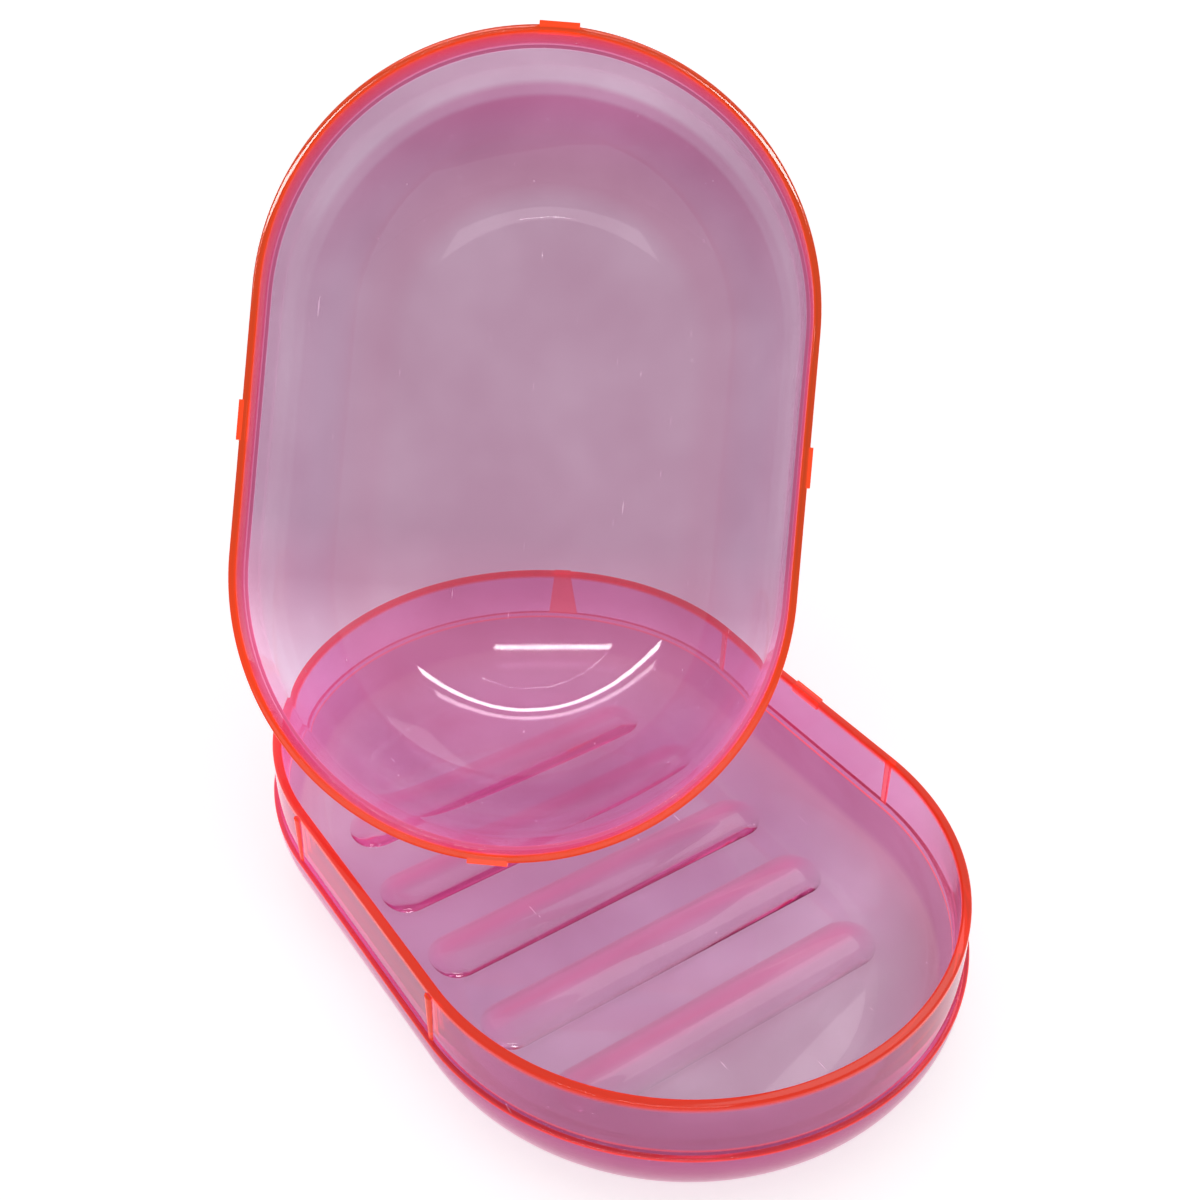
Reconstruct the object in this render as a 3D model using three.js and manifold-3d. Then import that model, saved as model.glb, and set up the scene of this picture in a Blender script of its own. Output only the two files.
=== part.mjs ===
// Travel soap dish: a tray and a deep lid, two thin clear mouldings with the same round-ended outline.
// Millimetres, +Z up. The origin is the middle of the tray's underside, and X runs along the tray.
// The lid is off: it stands on one round end on the tray's ribs and leans back on the tray's rim.
import * as THREE from "three";
import { mergeVertices } from "three/addons/utils/BufferGeometryUtils.js";
import Module from "manifold-3d";

// Outline shared by tray and lid: two half circles joined by straight sides
const HALF_STRAIGHT = 17.5;

// Tray
const SPIGOT_RADIUS = 35.6; // outside of the upright rim that the lid slips over, at its top
const SPIGOT_FLARE = 0.2; // how much wider it is at its foot
const SPIGOT_HEIGHT = 8.1;
const SPIGOT_WALL = 1.2;
const SHOULDER = 0.6; // ledge that the lid's rim lands on
const BODY_HEIGHT = 11.9; // underside to shoulder
const BELLY_RADIUS = 11.3; // rounding from the shoulder to the underside
const TRAY_FLOOR = 1.6;

// Soap ribs across the tray's floor
const SOAP_RIBS = 5;
const SOAP_RIB_PITCH = 13.7;
const SOAP_RIB_WIDTH = 8;
const SOAP_RIB_HEIGHT = 1.5;
const SOAP_RIB_RUNOUT = 2.5; // past the flat of the floor, into its rounding

// Grip ribs: upright beads on the spigot, where the straights meet the ends
const GRIP_RIB_RADIUS = 0.7;
const GRIP_RIB_PROUD = 0.25;
const GRIP_RIB_DROP = 0.9; // below the rim

// Catch: a low pad under the rim at the middle of one long side
const CATCH_WIDTH = 5.3;
const CATCH_HEIGHT = 1.4;
const CATCH_PROUD = 0.4;
const CATCH_DROP = 0.3;

// Gate mark: the fan-shaped scar that the moulding's feed leaves on the back of the spigot
const GATE_ANGLE = 140; // degrees round the back end, from +X
const GATE_TOP_WIDTH = 2.4;
const GATE_FOOT_WIDTH = 4.6;
const GATE_PROUD = 0.2;

// Lid
const LID_CLEARANCE = 0.4; // between the spigot's foot and the lid's lip
const LID_LIP = 1; // wall of the rebated lip
const REBATE_DEPTH = 4.9; // how far the rebate goes in from the rim
const LID_WALL = 1.3;
const LID_DEPTH = 32;
const LID_DRAFT = 1.5; // degrees
const CROWN_RADIUS = 21; // rounding from the wall to the flat crown
const RIM_PAD_WIDTH = 5.3; // low pads round the rim, at the middle of each side
const RIM_PAD_DEPTH = 1.8;
const RIM_PAD_PROUD = 0.35;

// How the lid stands, in degrees, and how far its middle lies to one side of the tray's
const LID_LEAN = 35.8; // its long axis, away from upright
const LID_HEADING = 137.3; // the way it leans, from +X towards +Y
const LID_SPIN = 5.8; // about its own long axis
const LID_ASIDE = 5;
const SEAT_GAP = 0.3; // left open where it rests

// Fineness
const EDGE = 0.25; // small chamfers
const ROOT = 0.8; // how deep small features are rooted in the wall that carries them
const ARC_STEPS = 24; // facets round each half circle
const ROUND_STEPS = 8; // facets on each large rounding
const RIDGE_SIDES = 56; // facets round the full circle of a soap rib's section
const RIDGE_TIP_STEPS = 12; // and over each of its tips
const BEAD_SIDES = 12; // facets round a grip rib
const SEAT_STEPS = 40; // halvings in the search for the lid's seat

const wasm = await Module();
wasm.setup();
const { Manifold, Mesh } = wasm;
const radians = THREE.MathUtils.degToRad;

// A three.js geometry as a solid, with doubled corners joined and empty triangles dropped.
function solid(geometry) {
  const bare = new THREE.BufferGeometry();
  bare.setAttribute("position", geometry.getAttribute("position"));
  bare.setIndex(geometry.getIndex());
  const joined = mergeVertices(bare, 1e-4);
  const corners = joined.getIndex().array;
  const kept = [];
  for (let i = 0; i < corners.length; i += 3) {
    const [a, b, c] = corners.slice(i, i + 3);
    if (a !== b && b !== c && c !== a) kept.push(a, b, c);
  }
  return new Manifold(
    new Mesh({
      numProp: 3,
      vertProperties: joined.getAttribute("position").array,
      triVerts: Uint32Array.from(kept),
    }),
  );
}

// A solid as a named mesh.
function part(name, body, material) {
  const made = body.getMesh();
  const geometry = new THREE.BufferGeometry();
  geometry.setAttribute("position", new THREE.BufferAttribute(made.vertProperties, made.numProp));
  geometry.setIndex(new THREE.BufferAttribute(made.triVerts, 1));
  geometry.computeVertexNormals();
  const mesh = new THREE.Mesh(geometry, material);
  mesh.name = name;
  return mesh;
}

// A point of a profile: radius from the outline's spine, and height.
const at = (radius, height) => new THREE.Vector2(radius, height);

// A run of profile points round a centre, between two angles in degrees.
function round(centre, radius, from, to) {
  const points = [];
  for (let i = 0; i <= ROUND_STEPS; i++) {
    const angle = radians(from + ((to - from) * i) / ROUND_STEPS);
    points.push(at(centre.x + radius * Math.cos(angle), centre.y + radius * Math.sin(angle)));
  }
  return points;
}

// A profile lathed, then pulled apart along X into the shared outline.
function racetrack(profile) {
  const rings = 2 * ARC_STEPS + 2;
  const geometry = new THREE.LatheGeometry(profile, rings);
  const position = geometry.getAttribute("position");
  for (let k = 0; k < position.count; k++) {
    const ring = Math.floor(k / profile.length) % rings;
    const { x: radius, y: height } = profile[k % profile.length];
    const front = ring <= ARC_STEPS;
    const step = front ? ring : ring - ARC_STEPS - 1;
    const angle = Math.PI * (step / ARC_STEPS + (front ? -0.5 : 0.5));
    const shift = front ? HALF_STRAIGHT : -HALF_STRAIGHT;
    position.setXYZ(k, shift + radius * Math.cos(angle), radius * Math.sin(angle), height);
  }
  return solid(geometry);
}

// Tray shell: underside, belly, shoulder, spigot and rim, then down the inside to the floor.
const rimHeight = BODY_HEIGHT + SPIGOT_HEIGHT;
const spigotFoot = SPIGOT_RADIUS + SPIGOT_FLARE;
const bodyRadius = spigotFoot + SHOULDER;
const innerTop = SPIGOT_RADIUS - SPIGOT_WALL;
const innerFoot = innerTop - SPIGOT_FLARE;
const innerRound = BELLY_RADIUS - TRAY_FLOOR;
const floorRadius = innerFoot - innerRound; // where the flat of the floor ends
const trayShell = racetrack([
  at(0, 0),
  ...round(at(bodyRadius - BELLY_RADIUS, BELLY_RADIUS), BELLY_RADIUS, -90, 0),
  at(bodyRadius, BODY_HEIGHT - EDGE),
  at(bodyRadius - EDGE, BODY_HEIGHT),
  at(spigotFoot, BODY_HEIGHT),
  at(SPIGOT_RADIUS, rimHeight - EDGE),
  at(SPIGOT_RADIUS - EDGE, rimHeight),
  at(innerTop + EDGE, rimHeight),
  at(innerTop, rimHeight - EDGE),
  ...round(at(floorRadius, TRAY_FLOOR + innerRound), innerRound, 0, -90),
  at(0, TRAY_FLOOR),
]);

// Soap ribs: the tops of round-ended bars sunk in the floor, as long as the floor is wide there.
const ribArc = (SOAP_RIB_WIDTH ** 2 / 4 + SOAP_RIB_HEIGHT ** 2) / (2 * SOAP_RIB_HEIGHT);
const soapRibs = Array.from({ length: SOAP_RIBS }, (_, i) => {
  const x = (i - (SOAP_RIBS - 1) / 2) * SOAP_RIB_PITCH;
  const intoEnd = Math.max(Math.abs(x) - HALF_STRAIGHT, 0);
  const halfLength = Math.sqrt(floorRadius ** 2 - intoEnd ** 2) + SOAP_RIB_RUNOUT;
  const run = 2 * halfLength - SOAP_RIB_WIDTH;
  const bar = new THREE.CapsuleGeometry(ribArc, run, RIDGE_TIP_STEPS, RIDGE_SIDES);
  bar.translate(x, 0, TRAY_FLOOR + SOAP_RIB_HEIGHT - ribArc);
  return solid(bar).trimByPlane([0, 0, 1], TRAY_FLOOR / 2);
});

// Grip ribs: the beads that the lid's lip rubs on.
const gripLength = SPIGOT_HEIGHT - GRIP_RIB_DROP;
const gripOut = spigotFoot + GRIP_RIB_PROUD - GRIP_RIB_RADIUS;
const gripRibs = [-1, 1].flatMap((end) =>
  [-1, 1].map((side) => {
    const bead = new THREE.CylinderGeometry(GRIP_RIB_RADIUS, GRIP_RIB_RADIUS, gripLength, BEAD_SIDES);
    bead.rotateX(Math.PI / 2);
    bead.translate(end * HALF_STRAIGHT, side * gripOut, BODY_HEIGHT + gripLength / 2);
    return solid(bead);
  }),
);

// Catch: a box rooted in the spigot, just under the rim.
const catchPad = new THREE.BoxGeometry(CATCH_WIDTH, ROOT + CATCH_PROUD, CATCH_HEIGHT);
const catchOut = SPIGOT_RADIUS + (CATCH_PROUD - ROOT) / 2;
catchPad.translate(0, catchOut, rimHeight - CATCH_DROP - CATCH_HEIGHT / 2);

// Gate mark: a tapering slab from the shoulder to just under the rim.
const gateShape = new THREE.Shape([
  at(-GATE_FOOT_WIDTH / 2, 0),
  at(GATE_FOOT_WIDTH / 2, 0),
  at(GATE_TOP_WIDTH / 2, SPIGOT_HEIGHT - EDGE),
  at(-GATE_TOP_WIDTH / 2, SPIGOT_HEIGHT - EDGE),
]);
const gateMark = new THREE.ExtrudeGeometry(gateShape, { depth: ROOT + GATE_PROUD, bevelEnabled: false });
gateMark.rotateX(Math.PI / 2);
gateMark.rotateZ(Math.PI / 2);
gateMark.translate(spigotFoot - ROOT, 0, BODY_HEIGHT);
gateMark.rotateZ(radians(GATE_ANGLE));
gateMark.translate(-HALF_STRAIGHT, 0, 0);

// Lid in its own frame: rim at height 0 with the open side up, crown below.
const draft = Math.tan(radians(LID_DRAFT));
const rebateRadius = spigotFoot + LID_CLEARANCE;
const lidRadius = rebateRadius + LID_LIP;
const wallEnd = LID_DEPTH - CROWN_RADIUS;
const crownSpine = lidRadius - draft * wallEnd - CROWN_RADIUS; // where the flat of the crown ends
const crownCentre = at(crownSpine, -wallEnd);
const innerStart = lidRadius - draft * REBATE_DEPTH - LID_WALL;
const lidShell = racetrack([
  at(0, -LID_DEPTH),
  ...round(crownCentre, CROWN_RADIUS, -90, 0),
  at(lidRadius, -EDGE),
  at(lidRadius - EDGE, 0),
  at(rebateRadius + EDGE, 0),
  at(rebateRadius, -EDGE),
  at(rebateRadius, -REBATE_DEPTH),
  at(innerStart, -REBATE_DEPTH),
  ...round(crownCentre, CROWN_RADIUS - LID_WALL, 0, -90),
  at(0, LID_WALL - LID_DEPTH),
]);

// Rim pads: one at the middle of each long side and one at the tip of each end.
const padThickness = ROOT + RIM_PAD_PROUD;
const padOut = lidRadius + (RIM_PAD_PROUD - ROOT) / 2;
const rimPads = [-1, 1].flatMap((side) => {
  const long = new THREE.BoxGeometry(RIM_PAD_WIDTH, padThickness, RIM_PAD_DEPTH);
  long.translate(0, side * padOut, -RIM_PAD_DEPTH / 2);
  const tip = new THREE.BoxGeometry(padThickness, RIM_PAD_WIDTH, RIM_PAD_DEPTH);
  tip.translate(side * (HALF_STRAIGHT + padOut), 0, -RIM_PAD_DEPTH / 2);
  return [solid(long), solid(tip)];
});

// The lid's turn, and the height at which its lowest point clears the soap ribs.
const turn = new THREE.Euler(radians(LID_SPIN), radians(LID_LEAN - 90), radians(LID_HEADING), "ZYX");
const toLid = new THREE.Quaternion().setFromEuler(turn).invert();
const down = new THREE.Vector3(0, 0, -1).applyQuaternion(toLid);
const spineReach = HALF_STRAIGHT * Math.abs(down.x) + crownSpine * Math.hypot(down.x, down.y);
const lidReach = spineReach - wallEnd * down.z + CROWN_RADIUS;
const lidHeight = TRAY_FLOOR + SOAP_RIB_HEIGHT + SEAT_GAP + lidReach;

// How far a point in the lid's frame lies outside the lid's skin.
function outsideLid(point) {
  const out = Math.hypot(Math.max(Math.abs(point.x) - HALF_STRAIGHT, 0), point.y) - crownSpine;
  const below = -point.z - wallEnd;
  if (below < 0) return out + draft * below - CROWN_RADIUS;
  return Math.hypot(Math.max(out, 0), below) - CROWN_RADIUS;
}

// The gap between the tray's inner rim edge and the lid, with the middle of the lid's rim at x.
function gapToRim(x) {
  let least = Infinity;
  for (let degree = 90; degree <= 270; degree++) {
    const angle = radians(degree);
    const edge = new THREE.Vector3(
      -HALF_STRAIGHT + innerTop * Math.cos(angle),
      innerTop * Math.sin(angle),
      rimHeight,
    );
    edge.sub(new THREE.Vector3(x, LID_ASIDE, lidHeight)).applyQuaternion(toLid);
    least = Math.min(least, outsideLid(edge));
  }
  return least;
}

// The lid is slid back along the tray until the rim stops it.
let clear = 0;
let stopped = -2 * (HALF_STRAIGHT + lidRadius);
for (let i = 0; i < SEAT_STEPS; i++) {
  const middle = (clear + stopped) / 2;
  if (gapToRim(middle) > SEAT_GAP) clear = middle;
  else stopped = middle;
}

const plastic = new THREE.MeshStandardMaterial({
  name: "clear_pink_plastic",
  color: 0xe0619c,
  roughness: 0.12,
  transparent: true,
  opacity: 0.55,
});

const trayFeatures = [...soapRibs, ...gripRibs, solid(catchPad), solid(gateMark)];
const tray = part("tray", Manifold.union([trayShell, ...trayFeatures]), plastic);
const lid = part("lid", Manifold.union([lidShell, ...rimPads]), plastic);
lid.position.set(clear, LID_ASIDE, lidHeight);
lid.rotation.copy(turn);

const soapDish = new THREE.Group();
soapDish.name = "soap_dish";
soapDish.add(tray, lid);

export default soapDish;
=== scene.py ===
import math

import bmesh
import bpy
from mathutils import Euler, Matrix, Quaternion, Vector


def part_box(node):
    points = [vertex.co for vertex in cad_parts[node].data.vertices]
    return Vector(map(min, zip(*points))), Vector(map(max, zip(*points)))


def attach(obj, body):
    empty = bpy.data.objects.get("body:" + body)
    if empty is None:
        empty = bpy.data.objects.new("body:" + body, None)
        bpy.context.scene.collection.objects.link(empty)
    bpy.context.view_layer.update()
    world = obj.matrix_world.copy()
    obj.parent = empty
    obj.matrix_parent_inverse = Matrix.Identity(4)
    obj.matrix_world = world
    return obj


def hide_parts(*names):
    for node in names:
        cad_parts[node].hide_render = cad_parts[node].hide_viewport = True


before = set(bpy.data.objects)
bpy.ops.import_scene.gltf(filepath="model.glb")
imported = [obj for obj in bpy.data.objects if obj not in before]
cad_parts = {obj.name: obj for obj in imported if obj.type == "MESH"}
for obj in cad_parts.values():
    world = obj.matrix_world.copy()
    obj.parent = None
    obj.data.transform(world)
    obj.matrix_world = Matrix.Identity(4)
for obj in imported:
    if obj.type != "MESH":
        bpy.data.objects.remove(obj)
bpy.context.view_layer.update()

# Tray shell
# The lower half of the dish: one injection moulding in clear fluorescent pink polystyrene. A flat
# underside turns up through a wide belly to a narrow shoulder, where the upright spigot begins that the
# lid slips over.
MM = 0.001
tray_low, tray_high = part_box("tray")
half_straight = tray_high.x - tray_high.y
body_radius = tray_high.y
rim_height = tray_high.z
shoulder_height = 11.9 * MM
shoulder_width = 0.6 * MM
spigot_draft = 0.2 * MM
spigot_wall = 1.2 * MM
belly_round = 11.3 * MM
floor_height = 1.6 * MM
edge_round = 0.3 * MM
spigot_foot = body_radius - shoulder_width
spigot_top = spigot_foot - spigot_draft
inner_top = spigot_top - spigot_wall
inner_foot = inner_top - spigot_draft
inner_round = belly_round - floor_height
HALF_TURN_STEPS = 96
BROAD_STEPS = 48
FINE_STEPS = 6
fine_limit = 2 * MM
merge_distance = 0.001 * MM


def draw_profile(corners):
    """A half section as a wire in the plane X = 0, through corners of (radius, height, rounding)."""
    made = bmesh.new()
    places = [Vector((0, -radius, height)) for radius, height, _ in corners]
    points = [made.verts.new(place) for place in places]
    for a, b in zip(points, points[1:]):
        made.edges.new((a, b))
    for i in range(1, len(corners) - 1):
        rounding = corners[i][2]
        if rounding == 0:
            continue
        opening = (places[i - 1] - places[i]).angle(places[i + 1] - places[i])
        bmesh.ops.bevel(
            made,
            geom=[points[i]],
            offset=rounding / math.tan(opening / 2),
            offset_type="OFFSET",
            segments=BROAD_STEPS if rounding > fine_limit else FINE_STEPS,
            profile=0.5,
            affect="VERTICES",
            material=-1,
        )
    return made


def sweep_racetrack(made):
    """Draws a half section along one side, round one end and back, and mirrors that half outline."""
    def drawn_along(edges, distance):
        out = bmesh.ops.extrude_edge_only(made, edges=edges)["geom"]
        moved = [item for item in out if isinstance(item, bmesh.types.BMVert)]
        bmesh.ops.translate(made, verts=moved, vec=(distance, 0, 0))
        return out

    first = drawn_along(made.edges[:], half_straight)
    start = [item for item in first if not isinstance(item, bmesh.types.BMFace)]
    turned = bmesh.ops.spin(
        made,
        geom=start,
        cent=(half_straight, 0, 0),
        axis=(0, 0, 1),
        angle=math.pi,
        steps=HALF_TURN_STEPS,
    )
    ended = [item for item in turned["geom_last"] if isinstance(item, bmesh.types.BMEdge)]
    drawn_along(ended, -half_straight)
    everything = made.verts[:] + made.edges[:] + made.faces[:]
    bmesh.ops.mirror(made, geom=everything, axis="X", merge_dist=merge_distance)
    bmesh.ops.remove_doubles(made, verts=made.verts, dist=merge_distance)
    bmesh.ops.recalc_face_normals(made, faces=made.faces)
    return made


tray_shell = sweep_racetrack(draw_profile([
    (0, 0, 0),
    (body_radius, 0, belly_round),
    (body_radius, shoulder_height, edge_round),
    (spigot_foot, shoulder_height, 0),
    (spigot_top, rim_height, edge_round),
    (inner_top, rim_height, edge_round),
    (inner_foot, floor_height, inner_round),
    (0, floor_height, 0),
]))

# Soap ribs, grip ribs, catch pad and gate mark
# All are moulded with the tray. Five low ridges keep the soap out of the wet, four upright beads grip the
# lid's lip, and a low pad under the rim catches it. The mould's feed left a fan-shaped scar on the back of
# the spigot.
RIB_COUNT = 5
rib_pitch = 13.7 * MM
rib_width = 8 * MM
rib_rise = 1.5 * MM
rib_runout = 2.5 * MM
rib_arc = (rib_width**2 / 4 + rib_rise**2) / (2 * rib_rise)
floor_flat = inner_foot - inner_round
BALL_SIDES = 96
BALL_BANDS = 47
bead_radius = 0.7 * MM
bead_proud = 0.25 * MM
bead_drop = 0.9 * MM
bead_length = rim_height - shoulder_height - bead_drop
BEAD_SIDES = 32
catch_size = Vector((5.3, 1.2, 1.4)) * MM
catch_proud = 0.4 * MM
catch_drop = 0.3 * MM
gate_angle = math.radians(140)
gate_top = 2.4 * MM
gate_foot = 4.6 * MM
gate_proud = 0.2 * MM
gate_root = 0.8 * MM
gate_depth = gate_root + gate_proud
gate_height = rim_height - shoulder_height - edge_round

# A rib is a ball of the radius of its crown, pulled apart at its middle band, which an odd number of bands
# gives it. Only its top stands out of the floor.
tray_features = bmesh.new()
rib_half_lengths = {}
for step in range(RIB_COUNT):
    across = (step - (RIB_COUNT - 1) / 2) * rib_pitch
    into_end = max(abs(across) - half_straight, 0)
    half_length = math.sqrt(floor_flat**2 - into_end**2) + rib_runout
    rib_half_lengths[across] = half_length
    ball = bmesh.ops.create_uvsphere(
        tray_features,
        u_segments=BALL_SIDES,
        v_segments=BALL_BANDS,
        radius=rib_arc,
        matrix=Matrix.Rotation(math.pi / 2, 4, "X"),
    )["verts"]
    for side in (-1, 1):
        tip = [vert for vert in ball if vert.co.y * side > 0]
        apart = side * (half_length - rib_width / 2)
        bmesh.ops.translate(tray_features, verts=tip, vec=(0, apart, 0))
    bmesh.ops.translate(tray_features, verts=ball, vec=(across, 0, floor_height + rib_rise - rib_arc))
everything = tray_features.verts[:] + tray_features.edges[:] + tray_features.faces[:]
sunk = bmesh.ops.bisect_plane(
    tray_features,
    geom=everything,
    plane_co=(0, 0, floor_height / 2),
    plane_no=(0, 0, 1),
    clear_inner=True,
)["geom_cut"]
cut_edges = [item for item in sunk if isinstance(item, bmesh.types.BMEdge)]
bmesh.ops.edgeloop_fill(tray_features, edges=cut_edges)

# A face is marked by its material number, which the Boolean keeps.
PLAIN_FACE, RIB_FACE, PAINTED_GLOW_FACE = range(3)
for face in tray_features.faces:
    face.material_index = RIB_FACE

for end in (-1, 1):
    for side in (-1, 1):
        place = Vector((end * half_straight, side * (spigot_foot + bead_proud - bead_radius), 0))
        place.z = shoulder_height + bead_length / 2
        bmesh.ops.create_cone(
            tray_features,
            cap_ends=True,
            segments=BEAD_SIDES,
            radius1=bead_radius,
            radius2=bead_radius,
            depth=bead_length,
            matrix=Matrix.Translation(place),
        )

catch_out = spigot_top + catch_proud - catch_size.y / 2
catch_place = Vector((0, catch_out, rim_height - catch_drop - catch_size.z / 2))
bmesh.ops.create_cube(tray_features, matrix=Matrix.LocRotScale(catch_place, None, catch_size))

gate_size = Vector((gate_depth, gate_foot, gate_height))
gate = bmesh.ops.create_cube(tray_features, matrix=Matrix.LocRotScale(None, None, gate_size))["verts"]
gate_upper = [vert for vert in gate if vert.co.z > 0]
bmesh.ops.scale(tray_features, verts=gate_upper, vec=(1, gate_top / gate_foot, 1))
gate_out = spigot_foot + gate_proud - gate_depth / 2
bmesh.ops.translate(tray_features, verts=gate, vec=(gate_out, 0, shoulder_height + gate_height / 2))
gate_turn = Matrix.Rotation(gate_angle, 3, "Z")
bmesh.ops.rotate(tray_features, verts=gate, cent=(0, 0, 0), matrix=gate_turn)
bmesh.ops.translate(tray_features, verts=gate, vec=(-half_straight, 0, 0))
for face in tray_features.faces:
    if face.material_index == PLAIN_FACE:
        face.material_index = PAINTED_GLOW_FACE


def as_object(name, made):
    """A bmesh as an object of the scene."""
    bmesh.ops.recalc_face_normals(made, faces=made.faces)
    mesh = bpy.data.meshes.new(name)
    made.to_mesh(mesh)
    made.free()
    piece = bpy.data.objects.new(name, mesh)
    bpy.context.scene.collection.objects.link(piece)
    return piece


def fuse(name, shell, features):
    """One moulding: the shell with its features joined to it, shaded smooth but for its true edges."""
    true_edge = math.radians(28)
    body = as_object(name + "_shell", shell)
    added = as_object(name + "_features", features)
    # Each mark has an empty material slot, so that the Boolean keeps its number.
    for piece in (body, added):
        for _ in (PLAIN_FACE, RIB_FACE, PAINTED_GLOW_FACE):
            piece.data.materials.append(None)
    join = body.modifiers.new("join", "BOOLEAN")
    join.operation = "UNION"
    join.solver = "EXACT"
    join.object = added
    graph = bpy.context.evaluated_depsgraph_get()
    mesh = bpy.data.meshes.new_from_object(body.evaluated_get(graph))
    for spent in (body, added):
        bpy.data.objects.remove(spent)
    mesh.name = name
    mesh.shade_smooth()
    mesh.set_sharp_from_angle(angle=true_edge)
    piece = bpy.data.objects.new(name, mesh)
    bpy.context.scene.collection.objects.link(piece)
    weighted = piece.modifiers.new("even_normals", "WEIGHTED_NORMAL")
    weighted.keep_sharp = True
    return piece


def keep_by_face(piece, name, value_of):
    """Keeps a value for each face, which the piece's material reads."""
    layer = piece.data.attributes.new(name, "FLOAT", "FACE")
    layer.data.foreach_set("value", [value_of(face) for face in piece.data.polygons])


def painted_glow_of_face(face):
    """How much painted orange glow a face gets, in place of light trapped in the wall coming out at edges.
    """
    painted_glow_amount = 0.9
    return painted_glow_amount if face.material_index == PAINTED_GLOW_FACE else 0


def on_slope(face, side):
    """How far a face lies on the rib slope facing +X (side 1) or -X (side -1), for the rib's painted
    shade.
    """
    crest_blend = 1.0 * MM
    if face.material_index != RIB_FACE:
        return 0
    across = min(rib_half_lengths, key=lambda rib: abs(face.center.x - rib))
    over = 0.5 + side * (face.center.x - across) / (2 * crest_blend)
    from_tip = (rib_half_lengths[across] - abs(face.center.y)) / (rib_width / 2)
    return min(max(over, 0), 1) * min(max(from_tip, 0), 1)


tray = fuse("tray_moulding", tray_shell, tray_features)
# Painted orange-red glow on the grip beads, catch pad and gate mark.
keep_by_face(tray, "painted_edge_glow", painted_glow_of_face)
# Painted shade on the soap ribs: one slope paler, the other deeper pink.
keep_by_face(tray, "painted_pale_slope", lambda face: on_slope(face, 1))
keep_by_face(tray, "painted_deep_slope", lambda face: on_slope(face, -1))

# Tray's clear fluorescent polystyrene
# Polished in the mould, so it is glass-clear and glossy. The dye takes green out of the light that crosses
# a wall. Its red fluorescence and the orange-red light at its edges are a painted glow, and its tint has
# painted shade by height, length and outline. Handling left hairline scratches.


def linear(hex_colour):
    """A colour written as sRGB hex, in linear light."""
    channels = [int(hex_colour[i:i + 2], 16) / 255 for i in (1, 3, 5)]
    return [c / 12.92 if c <= 0.04045 else ((c + 0.055) / 1.055) ** 2.4 for c in channels] + [1]


def add(tree, kind, inputs=None, stops=(), **settings):
    """Adds a node with its settings and a ramp's (place, colour) stops, and sets or links its inputs."""
    made = tree.nodes.new("ShaderNode" + kind)
    for name, value in settings.items():
        setattr(made, name, value)
    for socket, value in (inputs or {}).items():
        if isinstance(value, bpy.types.NodeSocket):
            tree.links.new(value, made.inputs[socket])
        else:
            made.inputs[socket].default_value = value
    if stops:
        elements = made.color_ramp.elements
        while len(elements) < len(stops):
            elements.new(1)
        for element, (place, colour) in zip(elements, stops):
            element.position = place
            element.color = linear(colour)
    return made


# A Mix node has several sockets of each name, so those for colours go by number.
FACTOR, COLOUR_A, COLOUR_B = 0, 6, 7
COLOUR_OUT = 2


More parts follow.
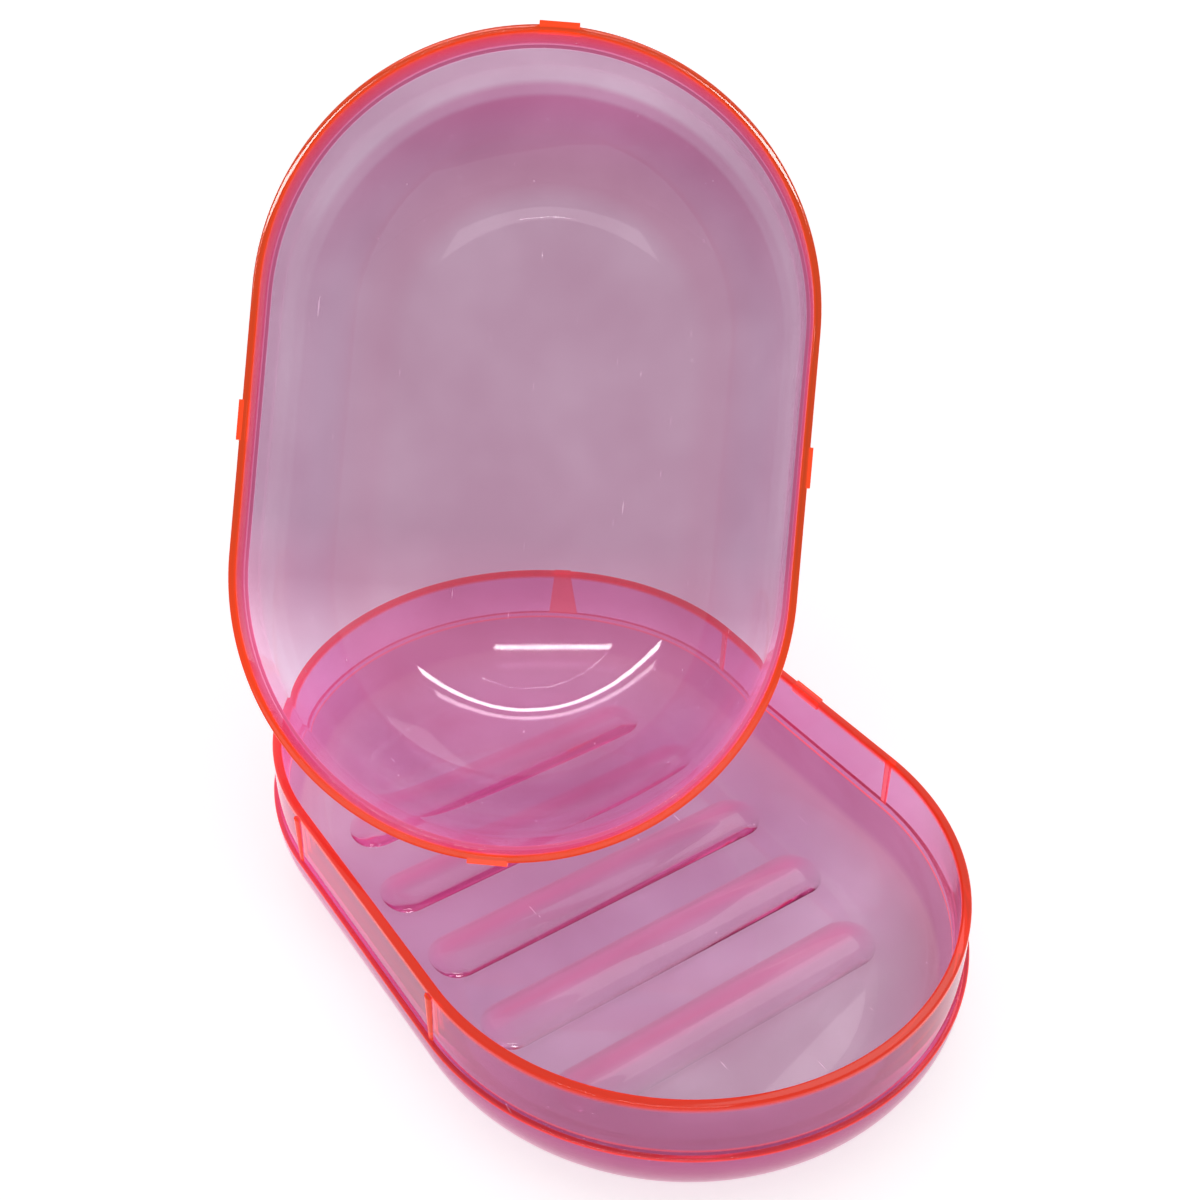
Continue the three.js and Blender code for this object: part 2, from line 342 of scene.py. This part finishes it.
def clear_polystyrene(name, place, turn, upright, lengthwise, roundwise):
    """Clear plastic with a painted glow and a tint with painted shade, by height, length and outline."""
    cloud_size = 18 * MM
    cloud_stops = [(0.35, "#ffffff"), (0.65, "#f4ecf0")]
    scratch_length = 6 * MM
    scratch_width = 0.45 * MM
    scratch_depth = 0.004 * MM
    scratch_slant = math.radians(60)
    scratch_begins, scratch_full = 0.79, 0.83
    polished, scratched = 0.02, 0.35
    dye_density = 250.0
    plain = {"data_type": "RGBA"}
    times = {"data_type": "RGBA", "blend_type": "MULTIPLY"}
    plus = {"data_type": "RGBA", "blend_type": "ADD"}

    material = bpy.data.materials.new(name)
    material.use_nodes = True
    # The glow is met by rays that cross the plastic, and is too faint to be sampled as a lamp.
    material.cycles.emission_sampling = "NONE"
    tree = material.node_tree
    tree.nodes.clear()
    where = add(tree, "TexCoord").outputs["Object"]
    frame_of_piece = {"Vector": where, "Location": place, "Rotation": turn}
    own = add(tree, "Mapping", frame_of_piece, vector_type="TEXTURE").outputs[0]
    axes = add(tree, "SeparateXYZ", {0: own}).outputs

    # Painted glow and painted shade by height: walls, shoulder and rim get their own glow and tint.
    low, high = upright["span"]
    height = add(tree, "MapRange", {"Value": axes["Z"], "From Min": low, "From Max": high}).outputs[0]
    glow = add(tree, "ValToRGB", {"Fac": height}, upright["glow"]).outputs[0]
    tint = add(tree, "ValToRGB", {"Fac": height}, upright["tint"]).outputs[0]

    # Painted light and shade along the length: one end gets a painted glow, and the tint changes end to
    # end.
    low, high = lengthwise["span"]
    along = add(tree, "MapRange", {"Value": axes["X"], "From Min": low, "From Max": high}).outputs[0]
    shade = add(tree, "ValToRGB", {"Fac": along}, lengthwise["tint"]).outputs[0]
    tint = add(tree, "Mix", {FACTOR: 1.0, COLOUR_A: tint, COLOUR_B: shade}, **times).outputs[COLOUR_OUT]
    extra = add(tree, "ValToRGB", {"Fac": along}, lengthwise["glow"]).outputs[0]
    most_gain, gain_stops = lengthwise["glow_gain"]
    gain = add(tree, "ValToRGB", {"Fac": height}, gain_stops).outputs[0]
    gain = add(tree, "Math", {0: gain, 1: most_gain}, operation="MULTIPLY").outputs[0]
    extra = add(tree, "VectorMath", {0: extra, "Scale": gain}, operation="SCALE").outputs[0]
    glow = add(tree, "Mix", {FACTOR: 1.0, COLOUR_A: glow, COLOUR_B: extra}, **plus).outputs[COLOUR_OUT]

    # Painted shade: colour deepens where the wall turns up, along the round-ended outline.
    beyond = add(tree, "Math", {0: axes["X"]}, operation="ABSOLUTE").outputs[0]
    beyond = add(tree, "Math", {0: beyond, 1: half_straight}, operation="SUBTRACT").outputs[0]
    beyond = add(tree, "Math", {0: beyond, 1: 0.0}, operation="MAXIMUM").outputs[0]
    level = add(tree, "CombineXYZ", {"X": beyond, "Y": axes["Y"]}).outputs[0]
    out = add(tree, "VectorMath", {0: level}, operation="LENGTH").outputs["Value"]
    low, high = roundwise["span"]
    out = add(tree, "MapRange", {"Value": out, "From Min": low, "From Max": high}).outputs[0]
    ring = add(tree, "ValToRGB", {"Fac": out}, roundwise["tint"]).outputs[0]
    (start, first), (end, last) = roundwise["share"]
    reach = {"From Min": start, "From Max": end, "To Min": first, "To Max": last}
    share = add(tree, "MapRange", {"Value": axes["X"], **reach}).outputs[0]
    tint = add(tree, "Mix", {FACTOR: share, COLOUR_A: tint, COLOUR_B: ring}, **times).outputs[COLOUR_OUT]

    # Slightly cloudy dye, painted shade on a rib's two slopes (one pale, one deep) and painted glow on
    # features.
    clouds = {"Vector": own, "Scale": 1 / cloud_size, "Detail": 2.0}
    cloud = add(tree, "TexNoise", clouds).outputs[0]
    uneven = add(tree, "ValToRGB", {"Fac": cloud}, cloud_stops).outputs[0]
    tint = add(tree, "Mix", {FACTOR: 1.0, COLOUR_A: tint, COLOUR_B: uneven}, **times).outputs[COLOUR_OUT]
    for layer, most, colour in (("painted_pale_slope", 0.5, "#a2d6c5"), ("painted_deep_slope", 0.65, "#c094a2")):
        part = add(tree, "Attribute", attribute_name=layer).outputs["Fac"]
        part = add(tree, "Math", {0: part, 1: most}, operation="MULTIPLY").outputs[0]
        dyed = {FACTOR: part, COLOUR_A: tint, COLOUR_B: linear(colour)}
        tint = add(tree, "Mix", dyed, **plain).outputs[COLOUR_OUT]
    # Painted orange-red glow and red tint on the beads, catch pad, gate mark and the lid's pads.
    edge = add(tree, "Attribute", attribute_name="painted_edge_glow").outputs["Fac"]
    edge_tint = {FACTOR: edge, COLOUR_A: tint, COLOUR_B: linear("#981c0c")}
    tint = add(tree, "Mix", edge_tint, **plain).outputs[COLOUR_OUT]
    edge_glow = {FACTOR: edge, COLOUR_A: glow, COLOUR_B: linear("#c44008")}
    glow = add(tree, "Mix", edge_glow, **plain).outputs[COLOUR_OUT]

    # Scratches are stretched noise, cut off so high that few are left. They are drawn several times as
    # wide as real hairlines, so that they show.
    stretch = (1 / scratch_length, 1 / scratch_width, 1 / scratch_width)
    slanted = {"Vector": own, "Rotation": (0, 0, scratch_slant), "Scale": stretch}
    drawn = add(tree, "Mapping", slanted).outputs[0]
    scratch = add(tree, "TexNoise", {"Vector": drawn, "Scale": 1.0, "Detail": 1.0}).outputs[0]
    cut_off = {"From Min": scratch_begins, "From Max": scratch_full}
    groove = add(tree, "MapRange", {"Value": scratch, **cut_off}).outputs[0]
    rough = add(tree, "MapRange", {"Value": groove, "To Min": polished, "To Max": scratched}).outputs[0]
    # A painted glint: the glow is turned pale along each scratch.
    painted_scratch_glint = {FACTOR: groove, COLOUR_A: glow, COLOUR_B: linear("#8c7082")}
    glow = add(tree, "Mix", painted_scratch_glint, **plain).outputs[COLOUR_OUT]
    sunken = {"Height": groove, "Strength": 1.0, "Distance": -scratch_depth}
    grooves = add(tree, "Bump", sunken).outputs[0]

    # The specular tint holds back the mirrored studio, which shows less in the real dish.
    surface = add(tree, "BsdfPrincipled", {
        "Base Color": tint,
        "Roughness": rough,
        "IOR": 1.59,
        "Normal": grooves,
        "Specular Tint": linear("#a4a4a4"),
        "Transmission Weight": 1.0,
        "Emission Color": glow,
        "Emission Strength": 1.0,
    }).outputs[0]
    dye = add(tree, "VolumeAbsorption", {"Color": linear("#ff9ad8"), "Density": dye_density}).outputs[0]
    add(tree, "OutputMaterial", {"Surface": surface, "Volume": dye})
    return material


def dress(piece, material):
    """Gives a moulding its one material, once the marks on its faces have been read."""
    piece.data.materials.clear()
    piece.data.materials.append(material)
    piece.data.polygons.foreach_set("material_index", [PLAIN_FACE] * len(piece.data.polygons))


# Stops go by share of the span: the belly is low, the shoulder at about 0.585 and the rim from 0.975 up.
tray_reach = tray_high.x
tray_plastic = clear_polystyrene(
    "clear_pink_polystyrene_tray",
    place=(0, 0, 0),
    turn=(0, 0, 0),
    upright={
        "span": (0, rim_height),
        # Painted glow: faint on the walls, with bright orange-red lines at the shoulder and the rim.
        "glow": [
            (0.0, "#381428"),
            (0.10, "#381428"),
            (0.30, "#501c30"),
            (0.575, "#501c30"),
            (0.585, "#e03810"),
            (0.60, "#48182c"),
            (0.95, "#48182c"),
            (0.975, "#c42c08"),
        ],
        # Painted shade: one plastic tinted differently on floor, belly, spigot, shoulder and rim.
        "tint": [
            (0.0, "#bcc9cd"),
            (0.10, "#bcc9cd"),
            (0.30, "#b2b0b6"),
            (0.575, "#b2acb4"),
            (0.585, "#98281c"),
            (0.60, "#dfd3de"),
            (0.95, "#dfd3de"),
            (0.975, "#90100a"),
        ],
    },
    lengthwise={
        "span": (-tray_reach, tray_reach),
        # Painted glow towards the back end, and a tint that changes from end to end as painted shade.
        "glow": [(0.10, "#501a36"), (0.60, "#000000")],
        "glow_gain": (1.0, [(0.0, "#ffffff"), (1.0, "#ffffff")]),
        "tint": [
            (0.22, "#ffffff"),
            (0.36, "#f3dceb"),
            (0.57, "#f3dceb"),
            (0.70, "#fcecf4"),
            (0.82, "#f0e8e7"),
        ],
    },
    roundwise={
        "span": (0, body_radius),
        # Painted shade: a deeper tint where the walls turn up, round the outline.
        "tint": [(0.945, "#ffffff"), (0.96, "#e4ccee")],
        "share": [(0, 1.0), (tray_reach, 1.0)],
    },
)
dress(tray, tray_plastic)
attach(tray, "tray")
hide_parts("tray")

# Lid
# The deep cover, moulded in the same plastic: flat crown, wide rounding, drafted wall and a thin rebated
# lip with four low pads. It is off, stands on one round end on the soap ribs and leans back on the tray's
# rim.
lid_clearance = 0.4 * MM
lid_lip = 1.0 * MM
lid_wall = 1.3 * MM
lid_depth = 32 * MM
lid_draft = math.radians(1.5)
crown_round = 21 * MM
rebate_depth = 4.9 * MM
rebate_radius = spigot_foot + lid_clearance
step_round = 0.15 * MM
lid_radius = rebate_radius + lid_lip
pad_size = Vector((5.3, 1.15, 1.8)) * MM
pad_proud = 0.35 * MM
lid_lean = math.radians(35.8)
lid_heading = math.radians(137.3)
lid_spin = math.radians(5.8)


def lid_skin(depth):
    """Radius of the drafted outer wall at a depth below the rim."""
    return lid_radius - math.tan(lid_draft) * depth


lid_shell = sweep_racetrack(draw_profile([
    (0, -lid_depth, 0),
    (lid_skin(lid_depth), -lid_depth, crown_round),
    (lid_radius, 0, edge_round),
    (rebate_radius, 0, edge_round),
    (rebate_radius, -rebate_depth, 0),
    (lid_skin(rebate_depth) - lid_wall, -rebate_depth, step_round),
    (lid_skin(lid_depth) - lid_wall, lid_wall - lid_depth, crown_round - lid_wall),
    (0, lid_wall - lid_depth, 0),
]))
rim_pads = bmesh.new()
for side in (-1, 1):
    out = side * (lid_radius + pad_proud - pad_size.y / 2)
    middle = Matrix.LocRotScale(Vector((0, out, -pad_size.z / 2)), None, pad_size)
    bmesh.ops.create_cube(rim_pads, matrix=middle)
    tip_place = Vector((side * half_straight + out, 0, -pad_size.z / 2))
    tip_size = Vector((pad_size.y, pad_size.x, pad_size.z))
    tip = Matrix.LocRotScale(tip_place, None, tip_size)
    bmesh.ops.create_cube(rim_pads, matrix=tip)
for face in rim_pads.faces:
    face.material_index = PAINTED_GLOW_FACE
lid = fuse("lid_moulding", lid_shell, rim_pads)
# Painted orange-red glow on the lid's four pads.
keep_by_face(lid, "painted_edge_glow", painted_glow_of_face)

lid_turn = Euler((lid_spin, lid_lean - math.pi / 2, lid_heading), "XYZ")
lid.data.transform(lid_turn.to_matrix().to_4x4())
corners = [vert.co for vert in lid.data.vertices]
built_middle = Vector([(min(c[i] for c in corners) + max(c[i] for c in corners)) / 2 for i in range(3)])
lid_low, lid_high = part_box("lid")
lid_middle = (lid_low + lid_high) / 2
lid_place = lid_middle - built_middle
lid.data.transform(Matrix.Translation(lid_place))

# The crown is at 0 of the height, the step of the rebate at about 0.847 and the lip from 0.96 up.
lid_reach = half_straight + lid_radius
lid_plastic = clear_polystyrene(
    "clear_pink_polystyrene_lid",
    place=lid_place,
    turn=lid_turn,
    upright={
        "span": (-lid_depth, 0),
        # Painted glow: faint over crown and wall, a light line at the rebate's step, and orange on the
        # lip.
        "glow": [
            (0.0, "#301020"),
            (0.835, "#301020"),
            (0.841, "#9c5478"),
            (0.850, "#9c5478"),
            (0.856, "#6c1434"),
            (0.96, "#981428"),
            (0.985, "#b83a00"),
        ],
        # Painted shade: one plastic tinted differently on crown, rounding, wall, rebate and lip.
        "tint": [
            (0.0, "#ccd6dc"),
            (0.10, "#ccd6dc"),
            (0.25, "#cee4e8"),
            (0.60, "#dcf6f6"),
            (0.84, "#dcf6f6"),
            (0.847, "#b07088"),
            (0.96, "#a04c50"),
            (0.985, "#901400"),
        ],
    },
    lengthwise={
        "span": (-lid_reach, lid_reach),
        # Painted glow at one end, and a tint that changes along the length as painted shade.
        "glow": [(0.02, "#401420"), (0.14, "#481c2c"), (0.25, "#543440"), (0.40, "#000000")],
        "glow_gain": (1.9, [(0.62, "#c0c0c0"), (0.82, "#ffffff"), (0.86, "#606060"), (0.97, "#202020")]),
        "tint": [(0.18, "#ffffff"), (0.32, "#d8bfc9"), (0.90, "#d8bfc9"), (0.97, "#e8cfd8")],
    },
    roundwise={
        "span": (0, lid_radius),
        # Painted shade: a deeper tint on the rounding and the wall, stronger towards one end.
        "tint": [
            (0.58, "#ffffff"),
            (0.66, "#f2d0de"),
            (0.80, "#e8bad0"),
            (0.918, "#e3a4c4"),
            (0.935, "#e3a4c4"),
            (0.945, "#ffffff"),
        ],
        "share": [(0.4 * lid_reach, 0.2), (0.92 * lid_reach, 1.0)],
    },
)
dress(lid, lid_plastic)
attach(lid, "lid")
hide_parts("lid")

# Floor
# A sheet of matt white paper under the dish: no gloss, and a soft pink shadow. It is lifted to white where
# it is seen, straight or through the plastic, and a little more far off, so that no horizon shows.
floor_reach = 4.0
floor_gap = 0.3 * MM
paper_colour = "#e7e7e7"
fade_start, fade_end = 0.25, 0.7
near_lift, far_lift = 0.62, 0.8


def seen_rays(tree):
    """1 for rays by which a surface is seen, straight, mirrored or through plastic, and 0 for the rest."""
    path = add(tree, "LightPath").outputs
    seen = {0: path["Is Camera Ray"], 1: path["Is Glossy Ray"]}
    seen = add(tree, "Math", seen, operation="MAXIMUM").outputs[0]
    return add(tree, "Math", {0: seen, 1: path["Is Transmission Ray"]}, operation="MAXIMUM").outputs[0]


ground = bmesh.new()
bmesh.ops.create_grid(
    ground,
    x_segments=1,
    y_segments=1,
    size=floor_reach,
    matrix=Matrix.Translation((0, 0, tray_low.z - floor_gap)),
)
table = as_object("table", ground)
paper = bpy.data.materials.new("matt_white_paper")
paper.use_nodes = True
tree = paper.node_tree
tree.nodes.clear()
matt = add(tree, "BsdfDiffuse", {"Color": linear(paper_colour)}).outputs[0]
where = add(tree, "TexCoord").outputs["Object"]
away = add(tree, "VectorMath", {0: where}, operation="LENGTH").outputs["Value"]
fade = {"From Min": fade_start, "From Max": fade_end, "To Min": near_lift, "To Max": far_lift}
strength = add(tree, "MapRange", {"Value": away, **fade}).outputs[0]
lift = add(tree, "Emission", {"Color": linear("#ffffff"), "Strength": strength}).outputs[0]
unlit = add(tree, "Emission", {"Strength": 0.0}).outputs[0]
lifted = add(tree, "MixShader", {0: seen_rays(tree), 1: unlit, 2: lift}).outputs[0]
both = add(tree, "AddShader", {0: matt, 1: lifted}).outputs[0]
add(tree, "OutputMaterial", {"Surface": both})
table.data.materials.append(paper)

# Studio light
# A white room and one broad softbox overhead light the dish evenly. The other lamps show as highlights in
# the gloss, and don't brighten the paper.
room_light, room_white = 0.3, 1.0
world = bpy.data.worlds.new("white_studio")
bpy.context.scene.world = world
world.use_nodes = True
tree = world.node_tree
tree.nodes.clear()
levels = {"Value": seen_rays(tree), "To Min": room_light, "To Max": room_white}
strength = add(tree, "MapRange", levels).outputs[0]
sky = add(tree, "Background", {"Color": linear("#ffffff"), "Strength": strength}).outputs[0]
add(tree, "OutputWorld", {"Surface": sky})


def softbox(name, left, right, aim, depth, power):
    """A rectangular lamp between two end points, facing a point."""
    left, right = Vector(left), Vector(right)
    middle = (left + right) / 2
    across = (right - left).normalized()
    behind = (middle - Vector(aim)).normalized()
    upward = behind.cross(across).normalized()
    behind = across.cross(upward)
    lamp = bpy.data.lights.new(name, "AREA")
    lamp.shape = "RECTANGLE"
    lamp.size = (right - left).length
    lamp.size_y = depth
    lamp.energy = power
    holder = bpy.data.objects.new(name, lamp)
    facing = Matrix((across, upward, behind)).transposed().to_4x4()
    holder.matrix_world = Matrix.Translation(middle) @ facing
    bpy.context.scene.collection.objects.link(holder)
    return holder


overhead = softbox(
    "overhead_softbox",
    left=(-0.3, -0.1, 0.9),
    right=(0.5, -0.1, 0.9),
    aim=(0.1, -0.1, 0),
    depth=0.8,
    power=2.6,
)
overhead.visible_glossy = False
# Each row is a lamp's name, its left and right ends, its depth and its power. The tube gives the thin
# straight line low in the lid, the window and its edge the long arcs, the card the soft arc on the crown,
# and the rear softbox the gleam on the tray.
for name, left, right, depth, power in (
    ("tube_lamp", (0.340, -0.331, 0.353), (0.376, -0.277, 0.353), 0.0022, 0.018),
    ("window_strip", (0.479, -2.72, 2.461), (1.977, -0.401, 2.53), 0.14, 46),
    ("window_edge", (0.169, -2.746, 2.799), (1.766, -0.292, 2.859), 0.16, 18),
    ("low_card", (0.983, -1.74, 0.925), (1.758, -0.587, 0.925), 0.36, 3.4),
    ("rear_softbox", (-0.42, 0.45, 0.83), (0.20, 0.45, 0.83), 0.30, 1.3),
):
    lamp = softbox(name, left, right, lid_middle, depth, power)
    lamp.visible_diffuse = False

# Camera
# It looks down over one corner of the tray, at the photograph's angle and distance. Its place and lens
# were fitted to the outlines of the tray and the lid.
camera_place = (0.12512, -0.08416, 0.15820)
view_azimuth = math.radians(56.11)
view_elevation = math.radians(35.67)
view_roll = math.radians(0.16)
camera = bpy.data.cameras.new("camera")
camera.sensor_width = 36
camera.lens = 46.21
camera.clip_start = 0.01
viewer = bpy.data.objects.new("camera", camera)
viewer.location = camera_place
toward = Vector((
    -math.sin(view_azimuth) * math.cos(view_elevation),
    math.cos(view_azimuth) * math.cos(view_elevation),
    -math.sin(view_elevation),
))
viewer.rotation_mode = "QUATERNION"
viewer.rotation_quaternion = toward.to_track_quat("-Z", "Y") @ Quaternion((0, 0, 1), -view_roll)
bpy.context.scene.collection.objects.link(viewer)
bpy.context.scene.camera = viewer
bpy.context.scene.view_settings.view_transform = "Standard"
